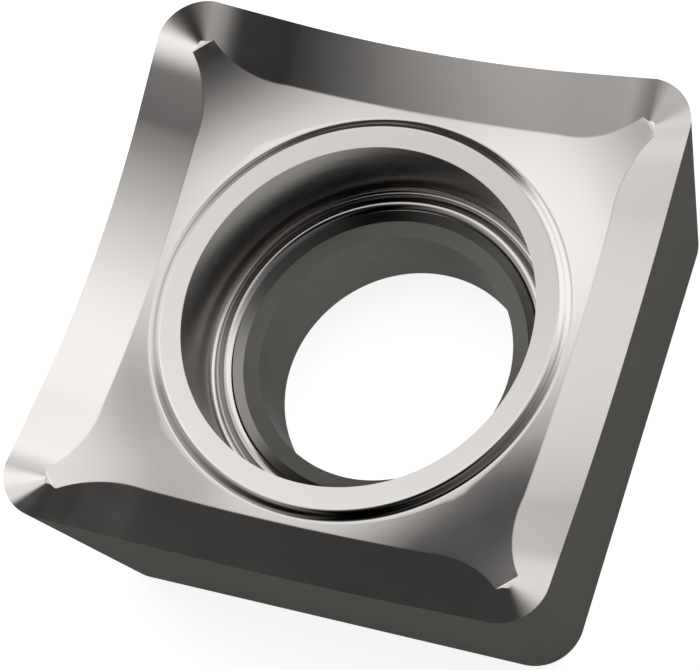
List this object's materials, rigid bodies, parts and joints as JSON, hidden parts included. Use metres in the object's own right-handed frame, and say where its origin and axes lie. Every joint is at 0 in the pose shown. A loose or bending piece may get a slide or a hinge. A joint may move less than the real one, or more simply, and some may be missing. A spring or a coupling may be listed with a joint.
{
  "type": "carbide insert",
  "caption": "Square positive cutting insert with dipped cutting edges, a dished chip-former rake face, relieved flanks and a stepped screw hole.",
  "frame": {"origin": "centre of the flat base face", "axes": "+Z out of the rake face along the screw hole, +X and +Y square to the flanks"},
  "size_m": [0.0126, 0.0126, 0.0056],
  "materials": {
    "carbide": "ground and polished, uncoated grey"
  },
  "bodies": {
    "root": {"insert": "carbide"}
  },
  "joints": []
}
